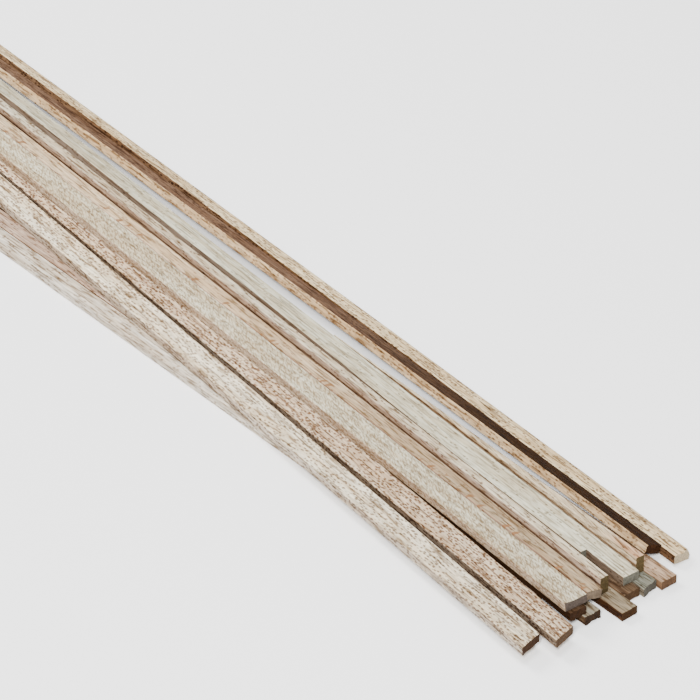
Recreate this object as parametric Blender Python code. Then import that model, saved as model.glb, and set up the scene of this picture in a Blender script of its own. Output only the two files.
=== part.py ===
"""Loose bundle of balsa strips for model making, lying on a table.

Frame: +X runs along the strips towards their near ends, +Y to the right as seen from those ends,
and +Z up. The origin is under the middle of the bundle's bounding box, on the table.

Flat strips cover the table side by side. More strips lie on them, turned the other way, so the
bundle fans out and the two layers cross. Nothing fixes one strip to another: each is a stick that
can be drawn out along its own length.

The layout is drawn with y = 0 along the left edge of bottom_strip_4 and x = 0 at its near end.
The last step moves everything to the origin.
"""

import math

import bmesh
import bpy
from mathutils import Matrix, Vector

INCH = 0.0254
MM = 0.001

# Stock sizes. All of the strips have one thickness, and come in two widths.
LENGTH = 24 * INCH
THICKNESS = 3 / 16 * INCH
NARROW = 3 / 8 * INCH
WIDE = 1 / 2 * INCH

# Strips that touch are kept this far apart.
GAP = 0.3 * MM
SECOND_LAYER = THICKNESS + GAP
THIRD_LAYER = 2 * SECOND_LAYER

# Angles about Z in degrees. A positive angle turns the near end to the right.
BOTTOM_YAW = 2.07
SPLIT_YAW = -1.0
EDGE_YAW = -1.4
TOP_YAW = -1.48
SHORT_YAW = -1.95

# Slopes of the near ends that are sawn out of square: the right corner is farther back.
SKEW = math.tan(math.radians(17))
SLIGHT_SKEW = math.tan(math.radians(11))

# A sliver has split off the left edge of the split strip, at its near end.
SLIVER_LENGTH = 27 * MM
SLIVER_WIDTH = 3.2 * MM

# The tapered offcut is split down to a thin, low tip. The short strip is a plain offcut.
TAPERED_LENGTH = 230 * MM
TIP_WIDTH = 0.6 * MM
TIP_HEIGHT = 4.4 * MM
SHORT_LENGTH = 238 * MM

ROUGHNESS = 0.8
TONES = {
    "pale": (0.74, 0.72, 0.62, 1.0),
    "cream": (0.72, 0.62, 0.47, 1.0),
    "tan": (0.60, 0.46, 0.33, 1.0),
    "pink": (0.68, 0.53, 0.42, 1.0),
    "grey": (0.52, 0.50, 0.45, 1.0),
}


def clear_scene():
    for old in list(bpy.data.objects):
        bpy.data.objects.remove(old, do_unlink=True)


def new_collection(name):
    made = bpy.data.collections.new(name)
    bpy.context.scene.collection.children.link(made)
    return made


def balsa(name, tone):
    """A material for one strip, in the tone of its wood."""
    material = bpy.data.materials.new(name)
    material.use_nodes = True
    shader = material.node_tree.nodes["Principled BSDF"]
    shader.inputs["Base Color"].default_value = TONES[tone]
    shader.inputs["Roughness"].default_value = ROUGHNESS
    shader.inputs["Metallic"].default_value = 0.0
    return material


def square_end(width):
    """A near end's corners, from left to right: distance from the end, distance from the left."""
    return [(0, 0), (0, width)]


def skewed_end(width, slope):
    return [(0, 0), (-slope * width, width)]


def split_end(width):
    return [(-SLIVER_LENGTH, 0), (-SLIVER_LENGTH, SLIVER_WIDTH), (0, SLIVER_WIDTH), (0, width)]


def far_end(length, width):
    """A far end's corners, from right to left."""
    return [(-length, width), (-length, 0)]


def flat_solid(name, outline, height):
    """An outline in plan, filled and extruded to its height about its own plane."""
    curve = bpy.data.curves.new(name, "CURVE")
    curve.dimensions = "2D"
    curve.fill_mode = "BOTH"
    curve.extrude = height / 2
    spline = curve.splines.new("POLY")
    spline.points.add(len(outline) - 1)
    for point, (x, y) in zip(spline.points, outline):
        point.co = (x, y, 0, 1)
    spline.use_cyclic_u = True
    return bpy.data.objects.new(name, curve)


def tapered_solid(name, length, width, height, tip_width, tip_height):
    """A block whose right side and top slope to a thin, low tip at its far end."""
    form = bmesh.new()
    bmesh.ops.create_cube(form, size=1.0)
    bmesh.ops.translate(form, vec=(-0.5, 0, 0), verts=form.verts)
    bmesh.ops.scale(form, vec=(length, width, height), verts=form.verts)
    for corner in form.verts:
        at_tip = corner.co.x < -length / 2
        if at_tip and corner.co.y > 0:
            corner.co.y = tip_width - width / 2
        if at_tip and corner.co.z > 0:
            corner.co.z = tip_height - height / 2
    mesh = bpy.data.meshes.new(name)
    form.to_mesh(mesh)
    form.free()
    return bpy.data.objects.new(name, mesh)


def place(made, tone, near_x, left_y, low_z, yaw, roll, width, height):
    """Puts a strip in the bundle. Its origin goes to the middle of its near end.

    left_y and low_z say where its lower left edge, carried on if need be, crosses x = 0, and
    near_x is where it ends. A negative roll lowers its right side. Angles are in degrees.
    """
    yaw, roll = math.radians(yaw), math.radians(roll)
    turn = Matrix.Rotation(yaw, 4, "Z") @ Matrix.Rotation(roll, 4, "X")
    edge = Vector((near_x, left_y + near_x * math.tan(yaw), low_z))
    middle = edge + turn @ Vector((0, width / 2, height / 2))
    made.matrix_world = Matrix.Translation(middle) @ turn
    made.data.materials.append(balsa(made.name, tone))
    bundle.objects.link(made)


def strip(name, tone, near_x, left_y, low_z=0.0, yaw=0.0, roll=0.0,
          width=NARROW, height=THICKNESS, length=LENGTH, near_end=None):
    """One strip of even section. place() says what its position means."""
    corners = (near_end or square_end(width)) + far_end(length, width)
    made = flat_solid(name, [(x, y - width / 2) for x, y in corners], height)
    place(made, tone, near_x, left_y, low_z, yaw, roll, width, height)


def drop(width, roll):
    """How far a roll lowers a strip's right side below its left side."""
    return width * math.sin(math.radians(-roll))


def bottom_layer():
    """Seven flat strips on the table, from left to right. The last four lie side by side."""
    strip("bottom_strip_1", "grey", -30 * MM, -36.2 * MM, yaw=BOTTOM_YAW)
    strip("bottom_strip_2", "pink", -35 * MM, -26.4 * MM, yaw=BOTTOM_YAW)
    strip("bottom_strip_3", "grey", -8 * MM, -14.8 * MM, yaw=BOTTOM_YAW)
    square = square_end(NARROW)
    row = (
        ("grey", 0.0, square),
        ("pink", -9.3, square),
        ("pale", -7.0, skewed_end(NARROW, SLIGHT_SKEW)),
        ("tan", -6.0, square),
    )
    for number, (tone, near_x, end) in enumerate(row):
        left_y = number * (NARROW + GAP)
        strip(f"bottom_strip_{4 + number}", tone, near_x * MM, left_y, yaw=BOTTOM_YAW, near_end=end)


def fanned_strips():
    """Two wide strips at the left, turned well out of line with the table's strips."""
    end = skewed_end(WIDE, SKEW)
    strip("fanned_strip_1", "pale", -4.7 * MM, -55.9 * MM, SECOND_LAYER, -3.0,
          width=WIDE, near_end=end)
    strip("fanned_strip_2", "cream", 0.8 * MM, -40.1 * MM, SECOND_LAYER, -2.8,
          width=WIDE, near_end=end)


def second_layer():
    """A short strip, one on its edge, the split strip, and the tapered offcut along its right side."""
    strip("short_strip", "tan", -10 * MM, -23.2 * MM, SECOND_LAYER, SHORT_YAW, length=SHORT_LENGTH)
    strip("edge_strip", "cream", -16.4 * MM, 0.3 * MM, SECOND_LAYER, EDGE_YAW,
          width=THICKNESS, height=NARROW)
    strip("split_strip", "pale", -15 * MM, 9.9 * MM, SECOND_LAYER, SPLIT_YAW,
          width=WIDE, near_end=split_end(WIDE))
    offcut = tapered_solid("tapered_offcut", TAPERED_LENGTH, THICKNESS, NARROW, TIP_WIDTH, TIP_HEIGHT)
    place(offcut, "cream", -17.7 * MM, 23.2 * MM, SECOND_LAYER, SPLIT_YAW, 0, THICKNESS, NARROW)


def top_strips():
    """A wide strip on the short strip and the fanned strips, and one tipped against its side."""
    strip("wide_top_strip", "pale", -12 * MM, -24.4 * MM, THIRD_LAYER, TOP_YAW, width=WIDE)
    strip("tipped_strip", "pink", -14 * MM, -10.8 * MM, 8.8 * MM, EDGE_YAW, roll=-15)


def right_side():
    """A strip that leans on the table's last strip, and one tipped on the table beyond it."""
    strip("leaning_strip", "tan", -25 * MM, 35.1 * MM, 6.9 * MM, roll=-25)
    strip("outer_strip", "cream", -16 * MM, 45.7 * MM, drop(NARROW, -15), roll=-15)


def stand_on_origin():
    """Puts the middle of the bundle's box over the origin, and its lowest point on the table."""
    bpy.context.view_layer.update()
    corners = [made.matrix_world @ Vector(corner) for made in bundle.objects
               for corner in made.bound_box]
    low = [min(corner[axis] for corner in corners) for axis in range(3)]
    high = [max(corner[axis] for corner in corners) for axis in range(3)]
    shift = Vector(((low[0] + high[0]) / 2, (low[1] + high[1]) / 2, low[2]))
    for made in bundle.objects:
        made.location -= shift


clear_scene()
bundle = new_collection("balsa_strip_bundle")
bottom_layer()
fanned_strips()
second_layer()
top_strips()
right_side()
stand_on_origin()
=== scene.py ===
"""Looks of the balsa strip bundle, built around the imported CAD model.

Each strip's CAD solid is replaced by a finer mesh in the same place, with worn edges, sawn and
torn ends, and its own balsa material. Lengths are in metres, unless a name or comment says mm.
"""

import math

import bpy
from mathutils import Matrix, Vector, noise


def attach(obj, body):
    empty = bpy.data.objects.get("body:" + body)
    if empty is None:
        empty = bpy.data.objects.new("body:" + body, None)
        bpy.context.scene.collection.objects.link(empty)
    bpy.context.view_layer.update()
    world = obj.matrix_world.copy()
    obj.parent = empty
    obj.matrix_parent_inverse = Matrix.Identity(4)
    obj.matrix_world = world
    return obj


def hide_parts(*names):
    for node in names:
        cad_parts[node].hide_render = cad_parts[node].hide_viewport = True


MM = 0.001

# The camera's direction and angle of view in degrees, its distance in metres, and how far it aims
# to the left of and above the lower left corner of bottom_strip_4's near end.
CAMERA_AZIMUTH = 51.53
CAMERA_ELEVATION = 36.11
CAMERA_DISTANCE = 2.6
CAMERA_ANGLE = 7.058
AIM_LEFT = 124.6 * MM
AIM_UP = 124.6 * MM

# Mesh spacing, in mm from each end: fine where the ends are torn, coarse along the middle.
END_ZONE, END_STEP = 8.0, 0.5
NEAR_ZONE, NEAR_STEP = 40.0, 1.6
BODY_STEP = 7.0
SECTION_STEP = 0.6

# Edges of the mesh that are sharper than this many degrees stay sharp.
SHARP_ANGLE = 40

# Wear, in mm: the rounding of the long edges, how much more of it there is where they are worn, the
# depth of the grooves along the grain, and how far from an end its tearing and its skew reach.
EDGE_RADIUS = 0.35
EDGE_WEAR = 0.25
GROOVE_DEPTH = 0.07
END_FADE = 6.0
SKEW_FADE = 30.0

# Cells of the noise for wear and for grooves, in mm along the strip and, for grooves, across it.
WEAR_CELL = 9
GROOVE_CELL = (40, 0.9)

# Cells of the noise for torn ends, in mm across and up the end, how strong the coarse and the fine
# noise are, and how far the coarse noise is raised, so that more than half of an end is torn.
TEAR_CELL = (2.2, 1.6)
FINE_TEAR_CELL = (0.5, 0.5)
TEAR_STRENGTH = (0.8, 0.3)
TEAR_RAISE = 0.35

# How uneven a split edge is and the length of its waves, and how torn a far end is, in mm.
SPLIT_WAVER, SPLIT_WAVE = 0.25, 3
FAR_TEAR = 0.5

# Slopes of the ends that are sawn out of square, and the broken pieces, in mm, as in the CAD model.
SKEW = math.tan(math.radians(17))
SLIGHT_SKEW = math.tan(math.radians(11))
SLIVER_LENGTH, SLIVER_WIDTH = 27.0, 3.2
TIP_WIDTH, TIP_HEIGHT = 0.6, 4.4

# Grain is made of cells. Each size is a cell's length along the grain and its width, in mm.
BROAD_CELL = (80, 3.5)
FINE_CELL = (9, 0.95)
RIPPLE_CELL = (2.8, 0.8)
PATCH_CELL = (30, 5)
FLECK_CELL = (2.4, 1.15)
LINE_CELL = (26, 1.2)
RAY_CELL = (3.2, 10)
PORE_CELL = (2.0, 0.45)
BLOTCH_CELL = (3, 1.2)

# What the wood's colour is multiplied by in the broad bands, in the dark and the pale part of the
# fine streaks, and in the ripples.
BROAD = (0.82, 0.75, 0.68)
FINE = (0.46, 0.39, 0.32)
PALE = (1.3, 1.3, 1.3)
RIPPLE = (0.62, 0.55, 0.48)

# Where in their noise the bands, streaks, ripples, patches, marks, pores and blotches start and
# where they are full. The pale streaks, marks and pores are where their noise is low.
BROAD_RANGE = (0.38, 0.62)
FINE_RANGE = (0.53, 0.63)
PALE_RANGE = (0.47, 0.38)
RIPPLE_RANGE = (0.48, 0.58)
PATCH_RANGE = (0.28, 0.42)
MARK_RANGE = (0.5, 0.3)
PORE_RANGE = (0.45, 0.1)
BLOTCH_RANGE = (0.3, 0.7)

# What an end's colour is multiplied by where it is pale, dark and in a pore, and how strong the
# pores are.
END_PALE, END_DARK, END_PORE = 1.2, 0.8, 0.45
PORE_STRENGTH = 0.5

# Angles of the ripples and the ray flecks to the strip, in degrees.
RIPPLE_TILT = 24
RAY_TILT = 6

# How strong lines and rays are, where a fleck is 1, and how deep a full mark is in the bump.
LINE_STRENGTH = 0.75
RAY_STRENGTH = 0.85
MARK_DEPTH = 0.6

# The colour near a strip's near end is full over this share of its reach.
NEAR_FULL = 0.3

# Each seed moves the noise by this many cells along, across and up the strip.
SEED_STEP = (3.7, 1.9, 5.3)

# The finish of bare balsa, which hardly shines: where its grain is low it is less rough.
SHINE = 0.04
ROUGHNESS, ROUGHNESS_CHANGE = 0.68, 0.15
BUMP_STRENGTH, BUMP_DEPTH = 0.5, 0.0002

# How far the surface has turned towards a side or an end, as a share of the normal, where that
# side's or end's colour starts and where it is full.
SIDE_TURN = (0.55, 0.8)
END_TURN = (0.45, 0.7)

# Strips that change towards their far ends do so between these distances, in mm.
FADE_START, FADE_END = 50, 350

# Painted shade: a dark line of contact shadow along a strip's sides, where a neighbour touches it:
# its multiplier, and how far from its middle it starts to fade and ends, in mm.
CONTACT_SHADOW = (0.34, 0.27, 0.22)
CONTACT_SHADOW_FADE = (0.4, 1.0)

# Ray flecks start and are full at these places across the strip, in mm to the right of its middle.
RAY_EDGE = (-0.2, -1.2)
RAY_COLOUR = (0.20, 0.095, 0.042)

# Lights: name, place in metres, size in metres and power in watts.
LIGHTS = (
    ("key", (-1.3, -0.3, 1.4), 0.8, 45),
    ("overhead", (0.0, 0.0, 2.0), 0.6, 25),
    ("front", (1.5, -1.3, 1.7), 0.5, 120),
)
ROOM_LIGHT = 0.7
FLOOR_REACH = 4.0
PAPER = 0.95
PAPER_ROUGHNESS = 0.9

# The end colours are end grain, darkened further as painted shade on the near ends.
# What each strip looks like. Colours are linear.
# top, side and end are the colours of its top, its sides and its ends.
# near is the top's colour over the last near_reach mm, and fade how much paler the far part is.
# fleck is what a fleck or a line multiplies the colour by, and flecks and lines are the share of
# cells that have one. rays is the same for ray flecks.
# grain and ripple are the strengths of the fine streaks (1 if not given) and of the ripples.
# tilt turns the grain from the strip's own direction, in degrees.
# The contact shadow entry is how far above the middle of its sides a dark line of painted shade
# runs, in mm.
# tear is how ragged the near end is, in mm.
# chip is a broken top corner: its side (-1 is left), then how far back, wide and deep it is, in mm.
STRIPS = {
    # Its dark side colour is painted shade, the shade in the gap between it and leaning_strip.
    "outer_strip": dict(
        top=(0.50, 0.40, 0.245), side=(0.10, 0.055, 0.028), end=(0.30, 0.24, 0.155), fade=1.15,
        fleck=(0.32, 0.26, 0.22), flecks=0.55, lines=0.3, tear=0.5, chip=(1, 2.2, 3.2, 2.0)),
    # Its top colour, and the darker near colour, are painted shade: the shadow between it and
    # outer_strip.
    "leaning_strip": dict(
        top=(0.105, 0.062, 0.038), side=(0.40, 0.285, 0.165), end=(0.028, 0.011, 0.004),
        near=(0.024, 0.010, 0.0024), near_reach=300, fade=1.25,
        fleck=(0.50, 0.44, 0.40), flecks=0.55, lines=0.3, tear=0.8),
    # Its contact shadow is painted shade, where its side meets split_strip's top.
    "tapered_offcut": dict(
        top=(0.46, 0.395, 0.28), side=(0.48, 0.38, 0.26), end=(0.068, 0.047, 0.020),
        near=(0.40, 0.26, 0.165), near_reach=30,
        fleck=(0.58, 0.52, 0.48), flecks=0.1, lines=0.5, tilt=6, tear=0.4, contact_shadow=0.25),
    # Its dark side colour is painted shade, the shade in the gap beside edge_strip.
    "split_strip": dict(
        top=(0.46, 0.44, 0.335), side=(0.14, 0.10, 0.07), end=(0.105, 0.10, 0.078), fade=1.08,
        fleck=(0.52, 0.48, 0.43), flecks=0.15, lines=0.6, grain=0.6, tear=0.3),
    # Its contact shadow is painted shade, where tipped_strip's top meets its side.
    "edge_strip": dict(
        top=(0.42, 0.365, 0.27), side=(0.36, 0.27, 0.20), end=(0.053, 0.037, 0.016),
        fleck=(0.44, 0.37, 0.34), flecks=0.2, lines=0.3, tear=0.4, contact_shadow=0.7),
    "tipped_strip": dict(
        top=(0.315, 0.245, 0.16), side=(0.25, 0.17, 0.12), end=(0.124, 0.090, 0.062), fade=1.68,
        fleck=(0.59, 0.49, 0.42), flecks=0.12, lines=0.2, rays=0.3, tear=0.4),
    "wide_top_strip": dict(
        top=(0.42, 0.385, 0.285), side=(0.37, 0.29, 0.21), end=(0.062, 0.047, 0.038), fade=1.2,
        fleck=(0.61, 0.56, 0.51), flecks=0.15, lines=0.15, grain=0.6, ripple=1.0, tear=0.3,
        chip=(-1, 0.9, 2.6, 2.6)),
    # Its dark side colour is painted shade, the shade in the gap between it and fanned_strip_1.
    "fanned_strip_2": dict(
        top=(0.43, 0.34, 0.24), side=(0.14, 0.105, 0.075), end=(0.060, 0.035, 0.019), fade=1.2,
        fleck=(0.31, 0.22, 0.18), flecks=0.95, lines=0.25, tear=0.5),
    "fanned_strip_1": dict(
        top=(0.53, 0.47, 0.355), side=(0.36, 0.305, 0.24), end=(0.034, 0.017, 0.009), fade=1.25,
        fleck=(0.34, 0.28, 0.25), flecks=0.75, lines=0.35, tear=0.4),
    "bottom_strip_1": dict(
        top=(0.50, 0.455, 0.38), side=(0.44, 0.39, 0.32), end=(0.10, 0.075, 0.053),
        fleck=(0.51, 0.44, 0.39), flecks=0.35, lines=0.3, tear=0.5),
    "bottom_strip_2": dict(
        top=(0.36, 0.27, 0.205), side=(0.16, 0.08, 0.038), end=(0.031, 0.016, 0.007),
        fleck=(0.53, 0.43, 0.39), flecks=0.3, lines=0.3, tear=0.9),
    "bottom_strip_3": dict(
        top=(0.23, 0.205, 0.155), side=(0.07, 0.040, 0.020), end=(0.025, 0.014, 0.008),
        fleck=(0.52, 0.46, 0.42), flecks=0.4, lines=0.4, tear=1.4),
    "bottom_strip_4": dict(
        top=(0.17, 0.135, 0.088), side=(0.045, 0.019, 0.007), end=(0.031, 0.014, 0.005),
        fleck=(0.48, 0.41, 0.36), flecks=0.15, lines=0.8, tear=0.3),
    "bottom_strip_5": dict(
        top=(0.085, 0.056, 0.034), side=(0.075, 0.036, 0.015), end=(0.050, 0.027, 0.013),
        fleck=(0.55, 0.47, 0.41), flecks=0.15, lines=0.4, tear=0.4),
    "bottom_strip_6": dict(
        top=(0.15, 0.15, 0.118), side=(0.12, 0.10, 0.072), end=(0.059, 0.053, 0.042),
        fleck=(0.55, 0.52, 0.48), flecks=0.2, lines=0.5, tear=0.8),
    "bottom_strip_7": dict(
        top=(0.275, 0.19, 0.125), side=(0.16, 0.095, 0.054), end=(0.074, 0.040, 0.021),
        fleck=(0.55, 0.47, 0.41), flecks=0.3, lines=0.35, tear=0.3),
    # Its very dark top and sides are painted shade: it lies in the shadow under wide_top_strip.
    "short_strip": dict(
        top=(0.055, 0.032, 0.018), side=(0.030, 0.013, 0.005), end=(0.024, 0.011, 0.005),
        fleck=(0.56, 0.50, 0.44), flecks=0.3, lines=0.3, tear=0.8),
}

# Slow twists along a strip: the distance from its near end in mm, the roll there in degrees about
# its lower right edge (a negative roll raises its left side), and a shift to the right in mm.
TWISTS = {
    "split_strip": [(0, 0, 0.0), (90, 0, 0.0), (330, -17, -0.9), (460, -25, -1.5), (700, -25, -1.5)],
    "outer_strip": [(0, 8, 0.0), (250, 0, 0.0), (420, -10, -0.9), (700, -10, -0.9)],
}


# --- The strips' places ---------------------------------------------------------------------------

def own_frame(node):
    """(matrix, size in mm): the strip's own axes, with its origin in the middle of its near end.

    X runs along the strip to its near end, Y to its right and Z up.
    """
    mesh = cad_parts[node].data
    down = min((face.normal for face in mesh.polygons), key=lambda normal: normal.z)
    left = min((face.normal for face in mesh.polygons), key=lambda normal: normal.y)
    up, right = -down.normalized(), -left.normalized()
    axes = Matrix((right.cross(up), right, up)).transposed()
    points = [axes.transposed() @ vertex.co for vertex in mesh.vertices]
    low = Vector([min(point[axis] for point in points) for axis in range(3)])
    high = Vector([max(point[axis] for point in points) for axis in range(3)])
    origin = Vector((high.x, (low.y + high.y) / 2, (low.z + high.z) / 2))
    return Matrix.Translation(axes @ origin) @ axes.to_4x4(), (high - low) / MM


# --- The strips' shapes, in mm --------------------------------------------------------------------

def spaced(start, stop, step):
    """Even steps from start up to, and leaving out, stop."""
    count = max(1, round((stop - start) / step))
    return [start + (stop - start) * place / count for place in range(count)]


def stations(length, extra):
    """Distances from the near end at which the strip has a section."""
    found = spaced(0, END_ZONE, END_STEP) + spaced(END_ZONE, NEAR_ZONE, NEAR_STEP)
    found += spaced(NEAR_ZONE, length - END_ZONE, BODY_STEP)
    found += spaced(length - END_ZONE, length, END_STEP) + [length]
    return sorted(set(found + extra))


def shares(size):
    """Places across a section, from 0 to 1, with extra ones in the rounded edges."""
    edge = EDGE_RADIUS / size
    inner = spaced(edge, 1 - edge, SECTION_STEP / size)
    return [0, edge / 2] + inner + [1 - edge, 1 - edge / 2, 1]


def plain_section(distance, size):
    """The strip's left, right, lower and upper faces at a distance from its near end."""
    return -size.y / 2, size.y / 2, -size.z / 2, size.z / 2


def split_section(distance, size):
    """The split strip's section. Torn fibres make the split's edge a little uneven."""
    left, right, low, high = plain_section(distance, size)
    if distance < SLIVER_LENGTH:
        waver = noise.noise(Vector((distance / SPLIT_WAVE, 7, 0)))
        left += SLIVER_WIDTH + SPLIT_WAVER * waver
    return left, right, low, high


def tapered_section(distance, size):
    """The tapered offcut's section. Its right side and its top slope to the thin, low tip."""
    left, right, low, high = plain_section(distance, size)
    share = distance / size.x
    return left, right - (size.y - TIP_WIDTH) * share, low, high - (size.z - TIP_HEIGHT) * share


# Sections that are not plain, slopes of the near ends, and distances in mm of extra stations, at
# each side of a step in the outline.
SECTIONS = {"split_strip": split_section, "tapered_offcut": tapered_section}
SKEWS = {
    "fanned_strip_1": SKEW,
    "fanned_strip_2": SKEW,
    "bottom_strip_6": SLIGHT_SKEW,
}
STEPS = {"split_strip": [SLIVER_LENGTH - 0.1, SLIVER_LENGTH]}


def twisted(name, distance, y, z, size):
    """Turns a point of a section about the strip's lower right edge."""
    if name not in TWISTS:
        return y, z
    for before, after in zip(TWISTS[name], TWISTS[name][1:]):
        if distance <= after[0]:
            break
    share = (distance - before[0]) / (after[0] - before[0])
    share = share * share * (3 - 2 * share)
    roll = math.radians(before[1] + (after[1] - before[1]) * share)
    shift = before[2] + (after[2] - before[2]) * share
    out_y, out_z = y - size.y / 2, z + size.z / 2
    turned_y = out_y * math.cos(roll) - out_z * math.sin(roll)
    turned_z = out_y * math.sin(roll) + out_z * math.cos(roll)
    return turned_y + size.y / 2 + shift, turned_z - size.z / 2


def chipped(y, z, half_y, half_z, chip):
    """How far back a broken top corner reaches at a place on the near end."""
    side, back, width, depth = chip
    from_edge = (half_y - side * y) / width
    from_top = (half_z - z) / depth
    return back * max(0.0, 1 - math.hypot(from_edge, from_top))


def rounded(y, z, half_y, half_z, radius):
    """Moves a point of a rectangular section so that the section's corners are round."""
    radius = min(radius, half_y * 0.9, half_z * 0.9)
    inner_y = max(-half_y + radius, min(half_y - radius, y))
    inner_z = max(-half_z + radius, min(half_z - radius, z))
    out_y, out_z = y - inner_y, z - inner_z
    reach = math.hypot(out_y, out_z)
    if reach == 0:
        return y, z
    keep = max(abs(out_y), abs(out_z)) / reach
    return inner_y + out_y * keep, inner_z + out_z * keep


def torn(y, z, seed, depth):
    """How far back the fibres end at a place on a sawn or torn end."""
    coarse = noise.noise(Vector((y / TEAR_CELL[0], z / TEAR_CELL[1], seed))) + TEAR_RAISE
    fine = noise.noise(Vector((y / FINE_TEAR_CELL[0], z / FINE_TEAR_CELL[1], seed + 9)))
    return depth * max(0.0, TEAR_STRENGTH[0] * coarse + TEAR_STRENGTH[1] * fine)


def surface_point(name, size, distance, across, up, seed):
    """A point of the strip's surface. across and up run from 0 to 1 over its section."""
    left, right, low, high = SECTIONS.get(name, plain_section)(distance, size)
    half_y, half_z = (right - left) / 2, (high - low) / 2
    y, z = (2 * across - 1) * half_y, (2 * up - 1) * half_z
    wear = noise.noise(Vector((distance / WEAR_CELL, across * 2 + seed, up * 2)))
    y, z = rounded(y, z, half_y, half_z, EDGE_RADIUS + EDGE_WEAR * max(0.0, wear))
    length, width = GROOVE_CELL
    groove = noise.noise(Vector((distance / length, y / width + seed, z / width)))
    shrink = GROOVE_DEPTH * (0.5 + 0.5 * groove)
    y -= math.copysign(min(shrink, abs(y)), y)
    z -= math.copysign(min(shrink, abs(z)), z)
    near_share = max(0.0, 1 - distance / END_FADE)
    x = -distance - torn(y, z, seed, STRIPS[name]["tear"]) * near_share
    x += torn(y, z, seed + 5, FAR_TEAR) * max(0.0, 1 - (size.x - distance) / END_FADE)
    x -= SKEWS.get(name, 0.0) * (y + half_y) * max(0.0, 1 - distance / SKEW_FADE)
    if "chip" in STRIPS[name]:
        x -= chipped(y, z, half_y, half_z, STRIPS[name]["chip"]) * near_share
    y, z = twisted(name, distance, (left + right) / 2 + y, (low + high) / 2 + z, size)
    return Vector((x, y, z)) * MM


def ring_places(last_a, last_u):
    """The places round a section, as numbers of steps across and up it."""
    ring = [(a, 0) for a in range(last_a)]
    ring += [(last_a, u) for u in range(last_u)]
    ring += [(a, last_u) for a in range(last_a, 0, -1)]
    return ring + [(0, u) for u in range(last_u, 0, -1)]


def strip_mesh(name, size, seed):
    """A closed mesh: rings along the strip, and a grid of faces over each of its ends."""
    across, up = shares(size.y), shares(size.z)
    last_a, last_u = len(across) - 1, len(up) - 1
    ring = ring_places(last_a, last_u)
    along = stations(size.x, STEPS.get(name, []))
    points, index, faces = [], {}, []

    def corner(station, a, u):
        key = (station, a, u)
        if key not in index:
            index[key] = len(points)
            points.append(surface_point(name, size, along[station], across[a], up[u], seed))
        return index[key]

    for station in range(len(along) - 1):
        for here, following in zip(ring, ring[1:] + ring[:1]):
            faces.append((corner(station, *here), corner(station + 1, *here),
                          corner(station + 1, *following), corner(station, *following)))
    for a in range(last_a):
        for u in range(last_u):
            square = ((a, u), (a + 1, u), (a + 1, u + 1), (a, u + 1))
            faces.append([corner(0, *place) for place in square])
            faces.append([corner(len(along) - 1, *place) for place in reversed(square)])
    mesh = bpy.data.meshes.new(name)
    mesh.from_pydata(points, [], faces)
    mesh.shade_smooth()
    mesh.set_sharp_from_angle(angle=math.radians(SHARP_ANGLE))
    return mesh


# --- Balsa ----------------------------------------------------------------------------------------

class Tree:
    """A short way to write a material's nodes."""

    def __init__(self, name):
        self.material = bpy.data.materials.new(name)
        self.material.use_nodes = True
        self.tree = self.material.node_tree
        self.shader = self.tree.nodes["Principled BSDF"]

    def node(self, kind, inputs=(), **settings):
        """A new node. inputs are (socket, value or output) pairs."""
        made = self.tree.nodes.new(kind)
        for key, value in settings.items():
            setattr(made, key, value)
        for socket, value in inputs:
            self.feed(made.inputs[socket], value)
        return made

    def feed(self, socket, value):
        """Links an output to a socket, or sets the socket's value."""
        if isinstance(value, bpy.types.NodeSocket):
            self.tree.links.new(value, socket)
        else:
            socket.default_value = value

    def math(self, operation, first, second=0.0, clamp=False):
        made = self.node("ShaderNodeMath", [(0, first), (1, second)], operation=operation)
        made.use_clamp = clamp
        return made.outputs[0]

    def ramp(self, value, low, high):
        """0 below low and 1 above high, or the other way round where high is the smaller."""
        made = self.node("ShaderNodeMapRange", [("Value", value)], interpolation_type="SMOOTHSTEP")
        flip = low > high
        made.inputs["From Min"].default_value = min(low, high)
        made.inputs["From Max"].default_value = max(low, high)
        made.inputs["To Min"].default_value = 1.0 if flip else 0.0
        made.inputs["To Max"].default_value = 0.0 if flip else 1.0
        return made.outputs["Result"]

    def mix(self, share, first, second, blend="MIX"):
        """The second colour blended into the first one, in the given share."""
        made = self.node("ShaderNodeMix", data_type="RGBA", blend_type=blend)
        self.feed(made.inputs[0], share)
        self.feed(made.inputs[6], first)
        self.feed(made.inputs[7], second)
        return made.outputs[2]

    def placed(self, cell, seed, tilt=0.0):
        """Coordinates in which a cell of the given size is 1 long and 1 wide."""
        length, width = cell
        where = self.node("ShaderNodeTexCoord").outputs["Object"]
        tilted = self.node("ShaderNodeMapping", [("Vector", where)])
        tilted.inputs["Rotation"].default_value = (0, 0, math.radians(tilt))
        scaled = self.node("ShaderNodeMapping", [("Vector", tilted.outputs[0])])
        scaled.inputs["Location"].default_value = [seed * step for step in SEED_STEP]
        scaled.inputs["Scale"].default_value = (1 / length / MM, 1 / width / MM, 1 / width / MM)
        return scaled.outputs[0]

    def cloud(self, cell, seed, detail=2.0, tilt=0.0):
        """Smooth noise."""
        made = self.node("ShaderNodeTexNoise", [
            ("Vector", self.placed(cell, seed, tilt)), ("Scale", 1.0), ("Detail", detail)])
        return made.outputs[0]

    def dashes(self, cell, seed, density, tilt=0.0):
        """Short marks along the grain, in the given share of the cells."""
        cells = self.node("ShaderNodeTexVoronoi", [
            ("Vector", self.placed(cell, seed, tilt)), ("Scale", 1.0)])
        mark = self.ramp(cells.outputs["Distance"], *MARK_RANGE)
        split = self.node("ShaderNodeSeparateColor", [("Color", cells.outputs["Color"])])
        chosen = self.math("LESS_THAN", split.outputs[0], density)
        return self.math("MULTIPLY", mark, chosen)


def shade(colour, amount=1.0):
    """A socket's value for a colour times an amount."""
    return tuple(channel * amount for channel in colour) + (1.0,)


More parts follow.
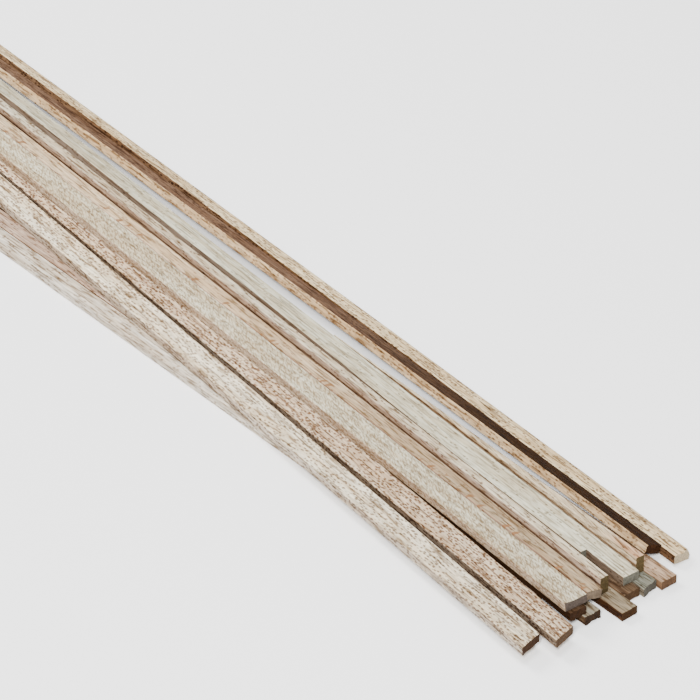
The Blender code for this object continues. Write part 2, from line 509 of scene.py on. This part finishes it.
def tinted(tree, share, colour, multiplier):
    """The colour times the multiplier, in the given share."""
    return tree.mix(share, colour, tree.mix(1.0, colour, shade(multiplier), "MULTIPLY"))


def place_on_strip(tree):
    """Where a point is along the strip, negative away from its near end, across it and up it."""
    where = tree.node("ShaderNodeSeparateXYZ", [
        ("Vector", tree.node("ShaderNodeTexCoord").outputs["Object"])])
    return where.outputs


def turned(tree, axis, limits):
    """The share of a side's or an end's colour: 1 where the surface faces along the axis."""
    normal = tree.node("ShaderNodeSeparateXYZ", [
        ("Vector", tree.node("ShaderNodeTexCoord").outputs["Normal"])])
    return tree.ramp(tree.math("ABSOLUTE", normal.outputs[axis]), *limits)


def plain_colour(tree, look):
    """The wood's colour before its grain: top, sides, and how they change along the strip."""
    sideways = turned(tree, 1, SIDE_TURN)
    along, _, up = place_on_strip(tree)
    top = shade(look["top"])
    if "near" in look:
        reach = look["near_reach"] * MM
        top = tree.mix(tree.ramp(along, -reach, -NEAR_FULL * reach), top, shade(look["near"]))
    # For some strips the side colour is painted shade: the shade in the gaps between strips.
    colour = tree.mix(sideways, top, shade(look["side"]))
    # Painted shade: a dark line of contact shadow along the sides, where a neighbouring strip
    # touches this one.
    if "contact_shadow" in look:
        from_contact_shadow = tree.math("ABSOLUTE", tree.math("SUBTRACT", up, look["contact_shadow"] * MM))
        contact_shadow = tree.ramp(from_contact_shadow, CONTACT_SHADOW_FADE[1] * MM, CONTACT_SHADOW_FADE[0] * MM)
        colour = tinted(tree, tree.math("MULTIPLY", contact_shadow, sideways), colour, CONTACT_SHADOW)
    if "fade" in look:
        far = tree.ramp(along, -FADE_START * MM, -FADE_END * MM)
        colour = tinted(tree, far, colour, (look["fade"],) * 3)
    return colour


def streaked(tree, look, seed, colour, fine):
    """The colour with broad bands and fine streaks along the grain."""
    strength = look.get("grain", 1.0)
    bands = tree.ramp(tree.cloud(BROAD_CELL, seed), *BROAD_RANGE)
    pale = tree.math("MULTIPLY", tree.ramp(fine, *PALE_RANGE), strength)
    dark = tree.math("MULTIPLY", tree.ramp(fine, *FINE_RANGE), strength)
    colour = tinted(tree, bands, colour, BROAD)
    colour = tinted(tree, pale, colour, PALE)
    return tinted(tree, dark, colour, FINE)


def rippled(tree, look, seed, colour):
    """The colour with fine ripples at an angle to the grain."""
    ripple = tree.ramp(tree.cloud(RIPPLE_CELL, seed + 6, 1.0, RIPPLE_TILT), *RIPPLE_RANGE)
    return tinted(tree, tree.math("MULTIPLY", ripple, look["ripple"]), colour, RIPPLE)


def fleck_marks(tree, look, seed):
    """Where there are flecks, which come in patches, or lines."""
    tilt = look.get("tilt", 0.0)
    patches = tree.ramp(tree.cloud(PATCH_CELL, seed + 2), *PATCH_RANGE)
    flecks = tree.dashes(FLECK_CELL, seed + 3, look["flecks"], tilt)
    lines = tree.dashes(LINE_CELL, seed + 4, look["lines"], tilt)
    return tree.math("MAXIMUM", tree.math("MULTIPLY", flecks, patches),
                     tree.math("MULTIPLY", lines, LINE_STRENGTH))


def rayed(tree, look, seed, colour):
    """The colour with ray flecks along the strip's left edge."""
    _, across, _ = place_on_strip(tree)
    edge = tree.ramp(across, RAY_EDGE[0] * MM, RAY_EDGE[1] * MM)
    rays = tree.math("MULTIPLY", tree.dashes(RAY_CELL, seed + 7, look["rays"], RAY_TILT), edge)
    return tree.mix(tree.math("MULTIPLY", rays, RAY_STRENGTH), colour, shade(RAY_COLOUR))


def wood_surface(tree, look, seed):
    """(colour, height) of the long faces. Marks are dents in them."""
    fine = tree.cloud(FINE_CELL, seed + 1, 2.0, look.get("tilt", 0.0))
    marks = fleck_marks(tree, look, seed)
    colour = streaked(tree, look, seed, plain_colour(tree, look), fine)
    if "ripple" in look:
        colour = rippled(tree, look, seed, colour)
    colour = tinted(tree, marks, colour, look["fleck"])
    if "rays" in look:
        colour = rayed(tree, look, seed, colour)
    return colour, tree.math("ADD", fine, tree.math("MULTIPLY", marks, -MARK_DEPTH))


def end_grain(tree, look, seed):
    """Colour of the sawn ends: dark pores, all across the section."""
    pores = tree.node("ShaderNodeTexVoronoi", [
        ("Vector", tree.placed(PORE_CELL, seed + 8)), ("Scale", 1.0)])
    pits = tree.ramp(pores.outputs["Distance"], *PORE_RANGE)
    blotch = tree.ramp(tree.cloud(BLOTCH_CELL, seed + 9), *BLOTCH_RANGE)
    # The end colour is end grain, darkened further as painted shade on the near ends.
    base = tree.mix(blotch, shade(look["end"], END_PALE), shade(look["end"], END_DARK))
    pits = tree.math("MULTIPLY", pits, PORE_STRENGTH)
    return tree.mix(pits, base, shade(look["end"], END_PORE))


def balsa(name, look, seed):
    """A strip's material."""
    tree = Tree(name)
    surface, height = wood_surface(tree, look, seed)
    colour = tree.mix(turned(tree, 0, END_TURN), surface, end_grain(tree, look, seed))
    roughness = tree.math("ADD", tree.math("MULTIPLY", height, ROUGHNESS_CHANGE), ROUGHNESS)
    bump = tree.node("ShaderNodeBump", [
        ("Height", height), ("Strength", BUMP_STRENGTH), ("Distance", BUMP_DEPTH)])
    tree.feed(tree.shader.inputs["Base Color"], colour)
    tree.feed(tree.shader.inputs["Specular IOR Level"], SHINE)
    tree.feed(tree.shader.inputs["Roughness"], roughness)
    tree.feed(tree.shader.inputs["Normal"], bump.outputs[0])
    return tree.material


def add_strip(name, look, seed):
    """A strip in the place of its CAD node."""
    placed, size = own_frame(name)
    piece = bpy.data.objects.new("wood_" + name, strip_mesh(name, size, seed))
    bpy.context.scene.collection.objects.link(piece)
    piece.matrix_world = placed
    piece.data.materials.append(balsa("balsa_" + name, look, seed))
    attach(piece, name)
    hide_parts(name)


# --- Surroundings ---------------------------------------------------------------------------------

def add_camera():
    """The camera, at the photograph's viewing angle."""
    placed, size = own_frame("bottom_strip_4")
    corner = placed @ (Vector((0, -size.y / 2, -size.z / 2)) * MM)
    azimuth, elevation = math.radians(CAMERA_AZIMUTH), math.radians(CAMERA_ELEVATION)
    look = Vector((-math.sin(azimuth) * math.cos(elevation),
                   math.cos(azimuth) * math.cos(elevation), -math.sin(elevation)))
    right = Vector((math.cos(azimuth), math.sin(azimuth), 0))
    up = right.cross(look)
    data = bpy.data.cameras.new("camera")
    data.angle = math.radians(CAMERA_ANGLE)
    camera = bpy.data.objects.new("camera", data)
    axes = Matrix((right, up, -look)).transposed().to_4x4()
    aim = corner - AIM_LEFT * right + AIM_UP * up
    camera.matrix_world = Matrix.Translation(aim - CAMERA_DISTANCE * look) @ axes
    bpy.context.scene.collection.objects.link(camera)
    bpy.context.scene.camera = camera


def add_light(name, place, size, power):
    """A square lamp that points at the origin."""
    data = bpy.data.lights.new(name, "AREA")
    data.size = size
    data.energy = power
    lamp = bpy.data.objects.new(name, data)
    lamp.location = place
    lamp.rotation_euler = (-Vector(place)).to_track_quat("-Z", "Y").to_euler()
    bpy.context.scene.collection.objects.link(lamp)


def add_floor():
    """A plain sheet of pale paper under the bundle."""
    mesh = bpy.data.meshes.new("floor")
    corners = [(-1, -1), (1, -1), (1, 1), (-1, 1)]
    mesh.from_pydata([(x * FLOOR_REACH, y * FLOOR_REACH, 0) for x, y in corners], [], [(0, 1, 2, 3)])
    floor = bpy.data.objects.new("floor", mesh)
    bpy.context.scene.collection.objects.link(floor)
    paper = Tree("paper")
    paper.feed(paper.shader.inputs["Base Color"], shade((PAPER,) * 3))
    paper.feed(paper.shader.inputs["Roughness"], PAPER_ROUGHNESS)
    mesh.materials.append(paper.material)


def add_room():
    """The floor, even light from all round, and the lamps."""
    add_floor()
    world = bpy.data.worlds.new("studio")
    world.use_nodes = True
    background = world.node_tree.nodes["Background"]
    background.inputs["Color"].default_value = (1, 1, 1, 1)
    background.inputs["Strength"].default_value = ROOM_LIGHT
    bpy.context.scene.world = world
    for light in LIGHTS:
        add_light(*light)


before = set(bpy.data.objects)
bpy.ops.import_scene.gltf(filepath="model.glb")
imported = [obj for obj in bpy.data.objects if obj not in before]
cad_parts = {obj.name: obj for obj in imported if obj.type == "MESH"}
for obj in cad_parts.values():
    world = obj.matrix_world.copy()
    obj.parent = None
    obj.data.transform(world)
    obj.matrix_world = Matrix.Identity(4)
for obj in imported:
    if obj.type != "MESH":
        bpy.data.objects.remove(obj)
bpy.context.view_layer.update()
for number, (strip_name, strip_look) in enumerate(STRIPS.items()):
    add_strip(strip_name, strip_look, number + 1.0)
add_camera()
add_room()
